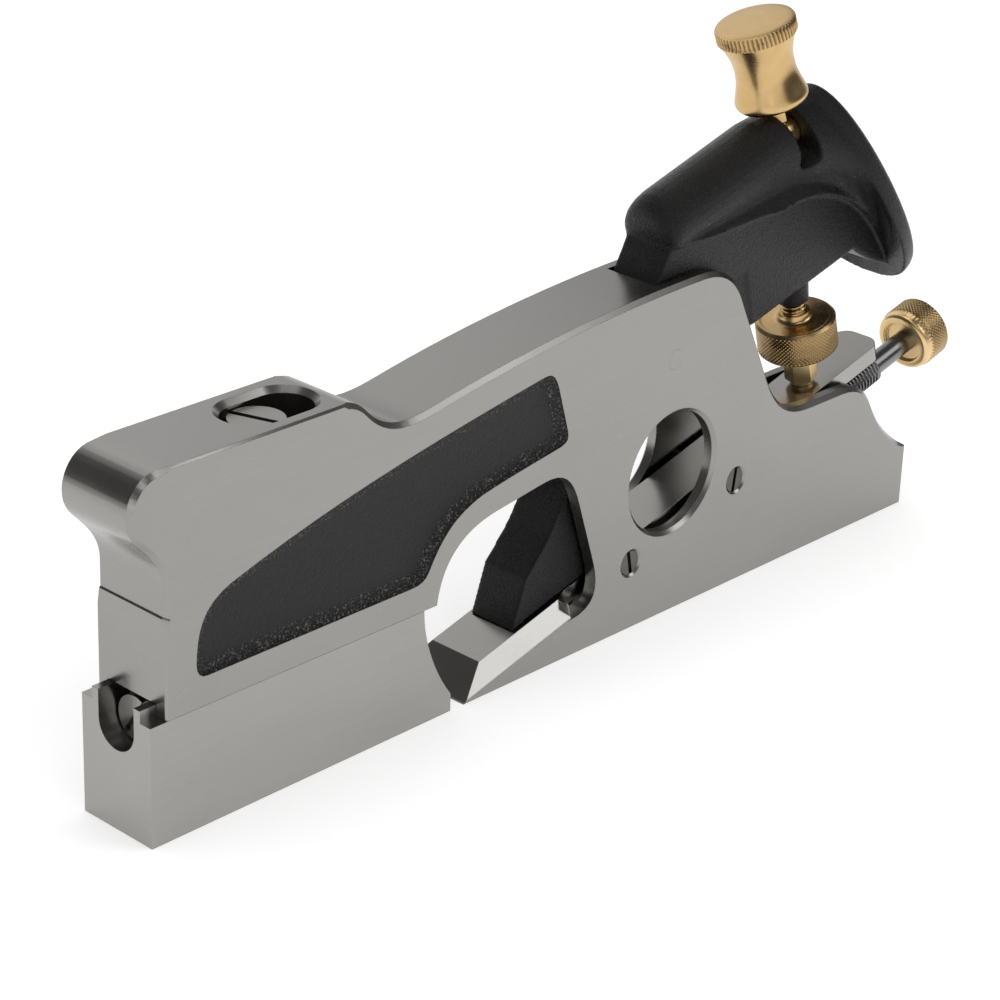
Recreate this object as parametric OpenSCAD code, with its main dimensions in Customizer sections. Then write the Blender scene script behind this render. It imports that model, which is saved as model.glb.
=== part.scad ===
// Bevel-up shoulder plane with a sliding toe, a combined feed and side adjuster
// and a rear knob that swings round the top of the lever cap.
// X runs from the toe to the heel, Z is up and the sole lies at Z = 0.
// The origin is at the middle of the sole.

/* [Body] */
// Length of the sole from the toe to the heel
sole_len = 210; // [200:1:225]
// Width of the body and of the cutting edge
body_w = 17.78; // [16.5:0.01:20]
// Height of the seam between the toe and the body
seam_z = 23.2; // [22:0.1:24.5]
// Distance from the middle of the sole forward to the cutting edge
edge_fwd = 29.9; // [26:0.1:34]
// How far the body's front face stands behind the front of the toe
front_set = 3.5; // [3:0.1:5]
// How far the round nose overhangs the front face
nose_out = 7.3; // [5:0.1:9]
// Height where the cove under the nose begins
cove_z = 42; // [38:0.5:44]
// Height of the flat top behind the nose
top_z = 69.1; // [67:0.1:72]
// Height of the dip ahead of the hump
dip_z = 61.7; // [60.5:0.1:64]
// Height of the hump
hump_z = 69.4; // [68:0.1:71]
// Height of the cheeks in the notch under the clamp
notch_z = 32.6; // [31:0.1:33.5]
// Height of the heel
heel_z = 13.2; // [11:0.1:15]
// Width of the slot between the two cheeks
slot_w = 12.4; // [12.2:0.1:13.4]
// Chamfer round the nose, the dip, the hump and the notch
rim_chamfer = 0.9; // [0.4:0.05:1.1]
// Chamfer along the flat top and the straight front
fine_chamfer = 0.4; // [0.1:0.05:0.6]

/* [Side openings] */
// Radius of the finger hole
finger_r = 12.4; // [11:0.1:13]
// Distance from the cutting edge back to the finger hole's centre
finger_back = 57.2; // [56:0.1:58]
// Height of the finger hole's centre
finger_z = 30.06; // [29:0.01:31]
// Chamfer around the finger hole
finger_chamfer = 0.74; // [0.3:0.02:1]
// Depth of the dark recess in each side
recess_depth = 1.3; // [0.4:0.1:1.5]
// Height of the recess floor line
recess_z = 28.7; // [27:0.1:31]

/* [Toe] */
// How far the mouth stands open at rest
mouth_gap = 3.4; // [3:0.1:4.5]
// Half width of the tongue on top of the toe
tongue_half = 6.2; // [5:0.1:6.6]
// Height of the tongue
tongue_h = 2.2; // [1.5:0.1:3]
// Sliding clearance between toe and body
slide_gap = 0.05; // [0.02:0.01:0.1]
// Half width of the channel in the toe's front
channel_r = 4.6; // [4.4:0.1:5]
// Height of the stop screw's axis
stop_z = 20.2; // [19.5:0.1:20.6]
// Radius of the stop screw's head
stop_head_r = 4.2; // [3.6:0.1:4.3]
// Radius of the stop screw's thread
stop_r = 2.45; // [2:0.05:3]
// Free travel of the toe before the stop screw meets its lug
stop_gap = 2.9; // [2.9:0.1:3.2]
// Radius of the toe lock screw's head
lock_head_r = 5.1; // [4.6:0.1:5.2]
// Height of the lock screw's head
lock_head_h = 7.4; // [5:0.1:9]
// Depth of the lock screw's head below the flat top
lock_sink = 1.7; // [1:0.1:3]
// Radius of the lock screw's thread
lock_r = 2.5; // [2:0.05:2.6]
// Chamfer round the lock screw's seat
seat_chamfer = 1.1; // [0.3:0.1:1.4]

/* [Blade] */
// Angle of the bed
bed_angle = 15; // [14.5:0.1:15.5]
// Thickness of the blade
blade_t = 3.5; // [3:0.1:3.8]
// Sharpening angle of the bevel
bevel = 24.5; // [22:0.5:30]
// Length of the full width head
head_len = 29.9; // [27:0.1:30.2]
// Half width of the head's top face
head_top_half = 6.1; // [5.6:0.1:7]
// Half width of the shank
shank_half = 5.2; // [4.8:0.1:5.3]
// Length of the blade
blade_len = 132.8; // [126:0.1:134]
// Radius of the tail's corners
tail_r = 3.3; // [2:0.1:4.7]
// Radius of the fillets where the head meets the shank
shoulder_r = 2.6; // [1.5:0.1:3.2]
// How far the edge is drawn back from the sole at rest
edge_back = 0.4; // [0.4:0.05:0.8]
// Clearance between the blade and its bed
bed_gap = 0.02; // [0.01:0.01:0.05]

/* [Lever cap] */
// Half width of the leg between the cheeks
leg_half = 5.4; // [5:0.1:5.6]
// Half width of the flat web above the body
web_half = 5.7; // [5.5:0.05:5.85]
// Radius of the round back of the lever cap
tube_r = 7; // [6.6:0.1:7.2]
// Height of the round back's axis above the bed, under the rear knob
tube_w = 60.9; // [60:0.1:62]
// Slope of the round back's axis, down to the front
tube_slope = 1.5; // [0:0.25:2.5]
// Height of the ridge's front end above the bed
ridge_w = 57.8; // [57.2:0.1:58.2]
// Half width of the ridge under the round back
ridge_half = 6.9; // [6.2:0.1:7]
// Radius of the edges round the lever cap's front face
front_edge = 2; // [1:0.1:2.5]
// Height of the web's lower edge above the bed
web_w = 29.75; // [29.5:0.05:30.6]
// Half length of the palm rest
palm_a = 26.2; // [24:0.1:28]
// Half width of the palm rest
palm_b = 14.5; // [12:0.1:16]
// Thickness of the palm rest's rim
palm_t = 3.2; // [2.6:0.1:3.8]
// Radius of the pin that the lever cap rocks on
pin_r = 2; // [1.5:0.05:2.5]
// Distance from the cutting edge back to that pin
pin_back = 55.9; // [54:0.1:58]
// Height of that pin
pin_z = 54; // [53:0.1:58]
// Running clearance of pins and shafts
run_gap = 0.05; // [0.02:0.01:0.09]

/* [Clamp] */
// Distance along the bed from the cutting edge to the clamp
clamp_u = 112.9; // [112:0.1:113.6]
// Radius of the knurled clamp wheel
wheel_r = 8.35; // [8:0.05:9]
// Height of the clamp wheel's knurled band
wheel_h = 7.5; // [6:0.1:7.9]
// Height of the wheel's lower face above the bed
wheel_w = 12; // [11.4:0.1:12.2]
// Radius of the clamp screw
clamp_r = 2.45; // [2:0.05:2.6]
// Width across the flats of the clamp foot
foot_af = 5.9; // [5.8:0.1:6.6]

/* [Rear knob] */
// Distance along the bed from the cutting edge to the rear knob
grip_u = 114.2; // [113.5:0.1:115]
// Radius of the knob's base
knob_base_r = 7.3; // [6.5:0.1:7.5]
// Radius of the knob's waist
knob_waist_r = 5.95; // [5:0.05:6.3]
// Radius of the knob's rim
knob_rim_r = 8; // [7.4:0.1:8.6]
// Height of the knob
knob_h = 17.4; // [15:0.1:19]
// Width of the arc slot for the knob's stud
arc_w = 5; // [4.8:0.1:5.4]
// How far the knob leans to the far side at rest
knob_lean = 7; // [0:1:20]
// Radius of the knob's stud
stud_r = 1.9; // [1.5:0.05:2]

/* [Adjuster] */
// Depth of the adjuster's axis below the bed
shaft_w = 6; // [5.8:0.1:6.3]
// Radius of the adjuster's coarse thread
thread_r = 3.17; // [2.9:0.01:3.2]
// Radius of the plain part of the shaft
shaft_r = 2.35; // [2:0.05:2.5]
// Distance along the bed from the cutting edge to the pivot barrel
barrel_u = 108; // [106:0.5:109]
// Radius of the pivot barrel
barrel_r = 4.55; // [4.4:0.05:5]
// Distance along the bed from the cutting edge to the drive pin
drive_u = 86; // [86:0.1:86.5]
// Radius of the drive pin
drive_r = 2; // [1.6:0.05:2.2]
// Distance along the bed from the edge to the adjuster knob
knob_u = 146.1; // [144:0.1:148]
// Radius of the adjuster knob
knob_r = 6.95; // [6:0.05:8]
// Length of the adjuster knob
knob_len = 7.8; // [6:0.1:10]

/* [Set screws] */
// Distance along the bed from the cutting edge to the front set screws
set_front_u = 48.1; // [46:0.1:50]
// Distance along the bed from the cutting edge to the rear set screws
set_rear_u = 80.2; // [78:0.1:80.5]
// Radius of the blade's set screws
set_r = 2.5; // [2:0.05:2.6]
// Radius of a set screw's plain tip
set_tip_r = 1.5; // [1:0.05:1.8]
// Gap between the front set screws and the blade
set_gap_front = 0.15; // [0.1:0.01:0.2]
// Gap between the rear set screws and the blade, room for the blade's swing
set_gap_rear = 0.45; // [0.4:0.01:0.5]

/* [Hidden] */
$fn = 48;

half_w = body_w / 2;
toe_x = -sole_len / 2;
heel_x = sole_len / 2;
front_x = toe_x + front_set;
edge_x = -edge_fwd;
slot_half = slot_w / 2;
groove_half = tongue_half + slide_gap * 2;
groove_top = seam_z + tongue_h + 0.15;
far_out = 400;

// Slotted heads
slot_cut = 1;
set_chamfer = 0.45;

// Toe parts, along X
lock_x = toe_x + 31.6;
head_face_x = toe_x + 4;
stop_head_t = 2.9;
wall_x = toe_x + 7;
pocket_x0 = toe_x + 13;
stop_tip_x = toe_x + 16.1;
lug_x = stop_tip_x + stop_gap;
lug_t = 3;
pocket_x1 = lug_x + lug_t + 3;

// Pieces in the bed's frame: u along the bed, w above it
function from_bed(p) = [
    edge_x + p[0] * cos(bed_angle) - p[1] * sin(bed_angle),
    p[0] * sin(bed_angle) + p[1] * cos(bed_angle)];
function to_bed(p) = [
    (p[0] - edge_x) * cos(bed_angle) + p[1] * sin(bed_angle),
    p[1] * cos(bed_angle) - (p[0] - edge_x) * sin(bed_angle)];
finger_x = edge_x + finger_back;
finger_bed = to_bed([finger_x, finger_z]);
pivot_pos = [edge_x + pin_back, pin_z];
set_front = [set_front_u, blade_t / 2];
set_rear = [set_rear_u, blade_t / 2];

// Points along a cubic curve, without its first point
function curve(a, b, c, d, n = 8) = [
    for (i = [1:n])
        let (t = i / n, s = 1 - t)
        s * s * s * a + 3 * s * s * t * b + 3 * s * t * t * c + t * t * t * d];
function mix(a, b, t) = a + (b - a) * t;

// Side outline of the body, clockwise from the seam at the front
nose_x = front_x - nose_out;
outline = concat(
    [[front_x, -1], [front_x, cove_z - 3], [front_x, cove_z]],
    [[front_x + 0.3, cove_z + 0.3], [front_x + 0.3, cove_z + 5.5]],
    curve([front_x + 0.3, cove_z + 5.5], [front_x + 0.3, cove_z + 9.5],
        [nose_x + 4.6, top_z - 14.7], [nose_x + 2.4, top_z - 12.4], 10),
    curve([nose_x + 2.4, top_z - 12.4], [nose_x + 0.9, top_z - 10.9],
        [nose_x, top_z - 9.3], [nose_x, top_z - 7.1], 6),
    curve([nose_x, top_z - 7.1], [nose_x, top_z - 4.1],
        [nose_x + 2.2, top_z - 0.1], [nose_x + 6.8, top_z], 10),
    [[nose_x + 10, top_z], [edge_x - 31.5, top_z]],
    curve([edge_x - 31.5, top_z], [edge_x - 29.3, top_z],
        [edge_x - 27.2, top_z - 1.2], [edge_x - 25.7, top_z - 2.8], 6),
    curve([edge_x - 25.7, top_z - 2.8], [edge_x - 23.6, top_z - 5.1],
        [edge_x - 20.6, dip_z], [edge_x - 15.7, dip_z], 8),
    curve([edge_x - 15.7, dip_z], [edge_x - 13, dip_z],
        [edge_x - 10.6, dip_z + 0.4], [edge_x - 8.4, dip_z + 0.8], 4),
    curve([edge_x - 8.4, dip_z + 0.8], [edge_x + 11.9, dip_z + 4.7],
        [edge_x + 38, hump_z - 0.2], [edge_x + 62.9, hump_z], 14),
    curve([edge_x + 62.9, hump_z], [edge_x + 68.4, hump_z],
        [edge_x + 72.5, hump_z - 2.1], [edge_x + 75.2, hump_z - 6.9], 10),
    [[edge_x + 84.8, notch_z + 10.6]],
    curve([edge_x + 84.8, notch_z + 10.6], [edge_x + 87.5, notch_z + 5.2],
        [edge_x + 90.4, notch_z], [edge_x + 99.4, notch_z], 10),
    [[edge_x + 110.4, notch_z]],
    curve([edge_x + 110.4, notch_z], [edge_x + 115.9, notch_z],
        [edge_x + 119.4, notch_z - 2.4], [edge_x + 121.4, notch_z - 5.8], 8),
    curve([edge_x + 121.4, notch_z - 5.8], [edge_x + 123.2, notch_z - 8.9],
        [heel_x - 9.2, heel_z + 5.4], [heel_x, heel_z], 12),
    [[heel_x, 0], [edge_x - 5, 0], [edge_x - 5, -1]]);

// The rim of each side, from the front round the top to the heel
rim = concat([for (i = [0:len(outline) - 4]) outline[i]], [[heel_x, -1]]);
function rim_size(p) =
    (p[0] < front_x + 0.1 && p[1] < cove_z - 2) || p[0] > heel_x - 0.1
        || (p[0] > nose_x + 8 && p[0] < edge_x - 31) ? fine_chamfer : rim_chamfer;
function ahead(i) = (rim[i + 1] - rim[i]) / norm(rim[i + 1] - rim[i]);
function inward(d) = [d[1], -d[0]];
// A point of the rim moved inward by a distance, on the mitre of its two sides
function inset(i, by) =
    let (a = inward(ahead(max(i - 1, 0))), b = inward(ahead(min(i, len(rim) - 2))))
    rim[i] + by * (a + b) / (1 + a * b);

// The opening round the blade's head, joined with the space for the toe
escapement = concat(
    [[edge_x - 7.7, seam_z]],
    curve([edge_x - 7.7, seam_z], [edge_x - 6.7, seam_z + 7.3],
        [edge_x - 2.7, seam_z + 12.4], [edge_x + 6.3, seam_z + 14], 10),
    [[edge_x + 19.4, seam_z + 15.9]],
    curve([edge_x + 19.4, seam_z + 15.9], [edge_x + 25.4, seam_z + 16.8],
        [edge_x + 28, seam_z + 14.4], [edge_x + 30.1, seam_z + 8.3], 8),
    [[edge_x + 34.8, 18.2]],
    curve([edge_x + 34.8, 18.2], [edge_x + 37.1, 11.9],
        [edge_x + 35.9, 8.2], [edge_x + 29.2, 7.6], 8),
    [from_bed([29, -bed_gap]), from_bed([0, -bed_gap]), [edge_x, -5],
        [toe_x - 20, -5], [toe_x - 20, seam_z]]);

// Outline of the shallow recess in each side
recess = concat(
    [[front_x + 6.7, recess_z + 2.8]],
    curve([front_x + 6.7, recess_z + 2.8], [front_x + 6.9, recess_z + 8.8],
        [front_x + 7.9, recess_z + 13.1], [front_x + 14.4, recess_z + 15.5], 8),
    curve([front_x + 14.4, recess_z + 15.5], [front_x + 35.5, recess_z + 22.3],
        [edge_x - 15.1, recess_z + 26.5], [edge_x + 18.5, recess_z + 31.7], 10),
    curve([edge_x + 18.5, recess_z + 31.7], [edge_x + 20.9, recess_z + 32.1],
        [edge_x + 21.7, recess_z + 31.3], [edge_x + 22.8, recess_z + 28.6], 5),
    [[edge_x + 25.7, recess_z + 19.5]],
    curve([edge_x + 25.7, recess_z + 19.5], [edge_x + 26.5, recess_z + 17.2],
        [edge_x + 25.7, recess_z + 16.6], [edge_x + 22.7, recess_z + 16.2], 5),
    curve([edge_x + 22.7, recess_z + 16.2], [edge_x + 16.9, recess_z + 15.3],
        [edge_x + 8.9, recess_z + 14.2], [edge_x + 3.4, recess_z + 13], 5),
    curve([edge_x + 3.4, recess_z + 13], [edge_x - 3.6, recess_z + 11.1],
        [edge_x - 6.8, recess_z + 7.8], [edge_x - 10, recess_z + 1.9], 8),
    curve([edge_x - 10, recess_z + 1.9], [edge_x - 10.8, recess_z + 0.5],
        [edge_x - 12.1, recess_z], [edge_x - 14.1, recess_z], 4),
    [[front_x + 9.3, recess_z]],
    curve([front_x + 9.3, recess_z], [front_x + 7.7, recess_z],
        [front_x + 6.6, recess_z + 0.9], [front_x + 6.7, recess_z + 2.8], 4));

// Slot between the cheeks, from the escapement to the notch
slot_front = [[edge_x + 26, seam_z + 14.8], [edge_x + 52.1, hump_z]];
slot_area = concat(
    [from_bed([26, -bed_gap]), [edge_x + 26, seam_z + 8]],
    slot_front,
    [[edge_x + 52.1, hump_z + 10], [heel_x + 10, hump_z + 10]],
    [from_bed([heel_x - edge_x + 12, -bed_gap])]);

// Draws an outline given in X and Z and thickens it across the body
module across(points, width) {
    translate([0, width / 2, 0])
        rotate([90, 0, 0])
            linear_extrude(width)
                polygon(points);
}

// Moves a piece drawn along the bed to its place
module bed() {
    translate([edge_x, 0, 0])
        rotate([0, -bed_angle, 0])
            children();
}

// A round hole or pin across the body
module cross_round(p, r, width, at = 0) {
    translate([p[0], at + width / 2, p[1]])
        rotate([90, 0, 0])
            cylinder(r = r, h = width);
}

// A round slot along X, upright
module long_slot(x0, x1, r, z0, z1) {
    for (x = [x0, x1])
        translate([x, 0, z0])
            cylinder(r = r, h = z1 - z0);
    translate([x0, -r, z0])
        cube([x1 - x0, 2 * r, z1 - z0]);
}

// Widens a round slot along X towards its top
module slot_chamfer(x0, x1, r, by, z) {
    for (x = [x0, x1])
        translate([x, 0, z - by])
            cylinder(r1 = r, r2 = r + by + 0.5, h = by + 0.5);
    translate([x0, 0, z])
        rotate([90, 0, 90])
            linear_extrude(x1 - x0)
                polygon([[-r, -by], [r, -by], [r + by + 0.5, 0.5], [-r - by - 0.5, 0.5]]);
}

// Opens the end of a round hole across the body with a chamfer
module hole_chamfer(p, r, by) {
    for (s = [-1, 1])
        translate([p[0], s * half_w, p[1]])
            rotate([90 * s, 0, 0])
                translate([0, 0, -0.5])
                    cylinder(r1 = r + by + 0.5, r2 = r, h = by + 0.5);
}

// Cuts the chamfer along the rim of one side
module rim_cut(s) {
    e = 0.3;
    n = len(rim);
    pts = [for (i = [0:n - 1])
        let (c = rim_size(rim[i]), out = inset(i, -e), in = inset(i, c + e))
        each [[out[0], s * (half_w - c - e), out[1]],
            [in[0], s * (half_w + e), in[1]], [out[0], s * (half_w + e), out[1]]]];
    faces = concat([[0, 1, 2], [3 * n - 1, 3 * n - 2, 3 * n - 3]],
        [for (i = [0:n - 2], k = [0:2])
            let (a = 3 * i + (k + 1) % 3, b = 3 * i + k)
            each [[a, b, b + 3], [a, b + 3, a + 3]]]);
    polyhedron(points = pts, faces = [for (f = faces) s > 0 ? f : [f[2], f[1], f[0]]]);
}

lock_slot_x0 = lock_x - 1.3;
lock_slot_x1 = lock_x + 6.1;
lock_floor = top_z - lock_sink - lock_head_h;
lock_wall_r = lock_head_r + 0.3;

module body() {
    color([0.6, 0.59, 0.58])
    difference() {
        across(outline, body_w);
        across(escapement, body_w + 2);
        across(slot_area, slot_w);
        // Room for the toe and for its tongue
        translate([toe_x - 20, -body_w, -5])
            cube([edge_x - toe_x + 12.3, body_w * 2, seam_z + 5]);
        difference() {
            translate([toe_x - 20, -groove_half, seam_z - 1])
                cube([edge_x - toe_x + 16, 2 * groove_half, groove_top - seam_z + 1]);
            translate([lug_x, -channel_r, seam_z - 2])
                cube([lug_t, 2 * channel_r, groove_top - seam_z + 2]);
        }
        // Shallow recesses in the two sides
        for (s = [-1, 1])
            translate([0, s * (half_w + 1 - recess_depth / 2), 0])
                across(recess, recess_depth + 2);
        // Finger hole with chamfers
        cross_round([finger_x, finger_z], finger_r, body_w + 2);
        hole_chamfer([finger_x, finger_z], finger_r, finger_chamfer);
        for (s = [-1, 1])
            rim_cut(s);
        // Seat and through slot of the toe lock screw
        long_slot(lock_slot_x0, lock_slot_x1, lock_wall_r, lock_floor, top_z + 5);
        long_slot(lock_slot_x0, lock_slot_x1, lock_r + 0.4, seam_z, top_z);
        slot_chamfer(lock_slot_x0, lock_slot_x1, lock_wall_r, seat_chamfer, top_z);
        // Adjuster channel under the bed and the pivot barrel's bore
        bed() {
            translate([drive_u - 10, -(thread_r + 0.73), -shaft_w - 3.8])
                cube([far_out, 2 * (thread_r + 0.73), shaft_w + 3.8 + 1]);
            translate([barrel_u, 0, -shaft_w - barrel_r - 1])
                cylinder(r = barrel_r + run_gap, h = shaft_w + barrel_r + 3);
        }
        // Holes of the set screws
        for (p = [set_front, set_rear]) {
            cross_round(from_bed(p), set_r + run_gap, body_w + 2);
            hole_chamfer(from_bed(p), set_r + run_gap, set_chamfer);
        }
        // Hole of the lever cap's pin
        cross_round(pivot_pos, pin_r, body_w + 2);
    }
    // Lug that stops the toe
    color([0.6, 0.59, 0.58])
    translate([lug_x, -channel_r + 0.3, stop_z - 3.6])
        cube([lug_t, 2 * channel_r - 0.6, groove_top - stop_z + 4.6]);
}

// Side outline of the toe
toe_back = edge_x - mouth_gap;
toe_outline = concat(
    [[toe_x, 0], [toe_x, seam_z - slide_gap], [edge_x - 10.9, seam_z - slide_gap]],
    curve([edge_x - 10.9, seam_z - slide_gap], [edge_x - 10.9, seam_z - 6.7],
        [toe_back - 3.8, 8.5], [toe_back - 0.2, 3.9], 10),
    [[toe_back, 3.4], [toe_back, 0]]);

module toe() {
    color([0.62, 0.61, 0.6])
    difference() {
        union() {
            across(toe_outline, body_w);
            translate([toe_x, -tongue_half, seam_z - 5])
                cube([edge_x - 10.9 - toe_x, 2 * tongue_half, tongue_h + 5]);
        }
        // Channel in the front with a round floor
        translate([toe_x - 1, 0, stop_z])
            rotate([0, 90, 0])
                cylinder(r = channel_r, h = wall_x - toe_x + 1);
        translate([toe_x - 1, -channel_r, stop_z])
            cube([wall_x - toe_x + 1, 2 * channel_r, 20]);
        // Thread of the stop screw and the pocket round the body's lug
        translate([toe_x, 0, stop_z])
            rotate([0, 90, 0])
                cylinder(r = stop_r + run_gap, h = pocket_x0 - toe_x + 1);
        translate([pocket_x0, -channel_r, stop_z - channel_r])
            cube([pocket_x1 - pocket_x0, 2 * channel_r, 20]);
        // Thread of the lock screw
        translate([lock_x, 0, 5])
            cylinder(r = lock_r + run_gap, h = 40);
    }
}

module toe_lock_screw() {
    color([0.55, 0.54, 0.53])
    difference() {
        union() {
            translate([lock_x, 0, lock_floor + slide_gap])
                cylinder(r = lock_head_r, h = lock_head_h - slide_gap);
            translate([lock_x, 0, 7])
                cylinder(r = lock_r, h = lock_floor - 6);
        }
        translate([lock_x, 0, top_z - lock_sink])
            rotate([0, 0, 109])
                cube([20, slot_cut * 1.2, 3], center = true);
    }
}

module toe_stop_screw() {
    color([0.5, 0.5, 0.5])
    difference() {
        union() {
            translate([head_face_x, 0, stop_z])
                rotate([0, 90, 0])
                    cylinder(r = stop_head_r, h = stop_head_t);
            translate([head_face_x + 1, 0, stop_z])
                rotate([0, 90, 0])
                    cylinder(r = stop_r, h = stop_tip_x - head_face_x - 1);
        }
        translate([head_face_x, 0, stop_z])
            rotate([35, 0, 0])
                cube([2.4, slot_cut, 20], center = true);
    }
}

// Half outline of the blade in plan, from the edge to the tail
head_end = head_len;
tail_u = blade_len - tail_r;
blade_half = concat(
    [[0, half_w], [head_end, half_w]],
    curve([head_end, half_w], [head_end, shank_half + shoulder_r * 0.45],
        [head_end + shoulder_r * 0.45, shank_half], [head_end + shoulder_r, shank_half], 6),
    [for (a = [0:11.25:90])
        [tail_u + tail_r * sin(a), shank_half - tail_r * (1 - cos(a))]],
    [[blade_len, 0]]);

module blade() {
    color([0.58, 0.57, 0.56])
    bed()
    translate([edge_back, 0, 0])
    difference() {
        linear_extrude(blade_t)
            polygon(concat(blade_half,
                [for (i = [len(blade_half) - 1:-1:0]) [blade_half[i][0], -blade_half[i][1]]]));
        // Bevel
        translate([0, body_w, 0])
            rotate([90, 0, 0])
                linear_extrude(body_w * 2)
                    polygon([[-5, -1], [0, 0],
                        [blade_t * 2 / tan(bevel), blade_t * 2], [-5, blade_t * 2]]);
        // Sloped sides of the head
        for (s = [-1, 1])
            rotate([90, 0, 90])
                translate([0, 0, -1])
                    linear_extrude(head_end + 1.01)
                        polygon([[s * (half_w + 0.01), 0.3],
                            [s * head_top_half, blade_t],
                            [s * head_top_half, blade_t + 2], [s * (half_w + 4), blade_t + 2],
                            [s * (half_w + 4), 0.3]]);
        // Hole for the adjuster's drive pin
        translate([drive_u - edge_back, 0, -1])
            cylinder(r = drive_r + run_gap, h = blade_t + 2);
    }
}

// The lever cap's upper part is a loft of closed rings. Each ring runs from its top
// round the far side to its foot and back, and the rings turn into the palm rest.
lobe_n = 8;
front_u = 73.9;
front_round = 5;
flare_u = grip_u - 8.2;
flare_n = 9;
palm_c = [grip_u + 16.7, tube_w - 19.6];
palm_lean = 18;
palm_bend = 2.4;
palm_up = [-sin(palm_lean), cos(palm_lean)];
palm_n = [cos(palm_lean), sin(palm_lean)];
palm_back = palm_c + palm_bend * palm_n;
palm_front = palm_back - palm_t * palm_n;

// Height of the round back's axis and of the ridge under it, and what lies between
function axis_w(u) = tube_w - (grip_u - u) * tan(tube_slope);
function ridge_at(u) = ridge_w - (u - front_u - 0.9) * 0.25;
function ridge_drop(u) = axis_w(u) - ridge_at(u);

// Half ring of the round back: lobe, neck and ridge, as [side, height] pairs
function back_half(drop) =
    let (r = tube_r, last = 96 + drop * 1.7)
    concat(
        [for (i = [0:lobe_n]) [r * sin(i * last / lobe_n), r * cos(i * last / lobe_n)]],
        [[6.9 - drop * 0.2, -drop * 0.68]],
        [[ridge_half - 0.3, 0.55 - drop], [ridge_half, 0.25 - drop], [ridge_half - 0.2, -drop]]);

// The same half ring with its height told as a share of the whole
function back_share(drop) = [
    for (p = back_half(drop)) [p[0], (p[1] + drop) / (tube_r + drop)]];

// Half ring of the palm rest: an egg, wider at its foot
egg_angles = concat([for (i = [0:lobe_n]) i * 112 / lobe_n], [130, 148, 163, 173]);
function egg_share(width) = [
    for (a = egg_angles)
        [palm_b * width * sin(a) * (1 - 0.21 * cos(a)),
            (cos(a) - cos(173)) / (1 - cos(173))]];

// A closed ring between its foot and its top, its sides swept forward by bend
function ring(half, foot, top, bend) =
    let (pts = [for (p = half)
        let (q = foot + p[1] * (top - foot) - bend * pow(p[0] / palm_b, 2) * palm_n)
        [q[0], p[0], q[1]]])
    concat(pts, [for (i = [len(pts) - 1:-1:1]) [pts[i][0], -pts[i][1], pts[i][2]]]);

// How far an edge of radius r is drawn in at a distance from the front face
function drawn_in(r, d) = d < r ? r - sqrt(r * r - (r - d) * (r - d)) : 0;
function back_ring(u) =
    let (d = u - front_u, side = 1 - drawn_in(front_edge, d) / tube_r)
    ring([for (p = back_share(ridge_drop(u))) [p[0] * side, p[1]]],
        [u, ridge_at(u)], [u, axis_w(u) + tube_r - drawn_in(front_round, d)], 0);

flare_feet = concat([[flare_u, ridge_at(flare_u)]],
    curve([flare_u, ridge_at(flare_u)], [flare_u + 12, tube_w - 11.4],
        [flare_u + 27, tube_w - 18.9], palm_front - palm_a * palm_up, flare_n));
flare_top = palm_front + palm_a * palm_up;
function flare_ring(i) =
    let (t = i / flare_n, s = pow(t, 2.2),
        a = back_share(ridge_drop(flare_u)), b = egg_share(1))
    ring([for (k = [0:len(a) - 1]) mix(a[k], b[k], s)], flare_feet[i],
        mix([flare_u, axis_w(flare_u) + tube_r], flare_top, t), palm_bend * s);
function palm_ring(scale_by, out) = ring(egg_share(scale_by),
    palm_back + out * palm_n - scale_by * palm_a * palm_up,
    palm_back + out * palm_n + scale_by * palm_a * palm_up, palm_bend);

back_rings = concat(
    [for (d = [0, 0.25, 0.8, 1.8, 3.2, 5.2, 11, 18, 25]) back_ring(front_u + d)],
    [for (i = [0:flare_n]) flare_ring(i)]);
cap_rings = concat(back_rings,
    [palm_ring(1, 0), palm_ring(0.93, 1), palm_ring(0.6, 2.2)]);

// Skins a row of closed rings, with a fan to a middle point at each end
module loft(rings, first, last) {
    n = len(rings[0]);
    m = len(rings);
    pts = concat([for (r = rings) each r], [first, last]);
    polyhedron(points = pts, faces = concat(
        [for (i = [0:n - 1]) [(i + 1) % n, i, n * m]],
        [for (j = [0:m - 2], i = [0:n - 1]) each [
            [j * n + i, j * n + (i + 1) % n, (j + 1) * n + i],
            [j * n + (i + 1) % n, (j + 1) * n + (i + 1) % n, (j + 1) * n + i]]],
        [for (i = [0:n - 1]) [(m - 1) * n + i, (m - 1) * n + (i + 1) % n, n * m + 1]]));
}

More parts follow.
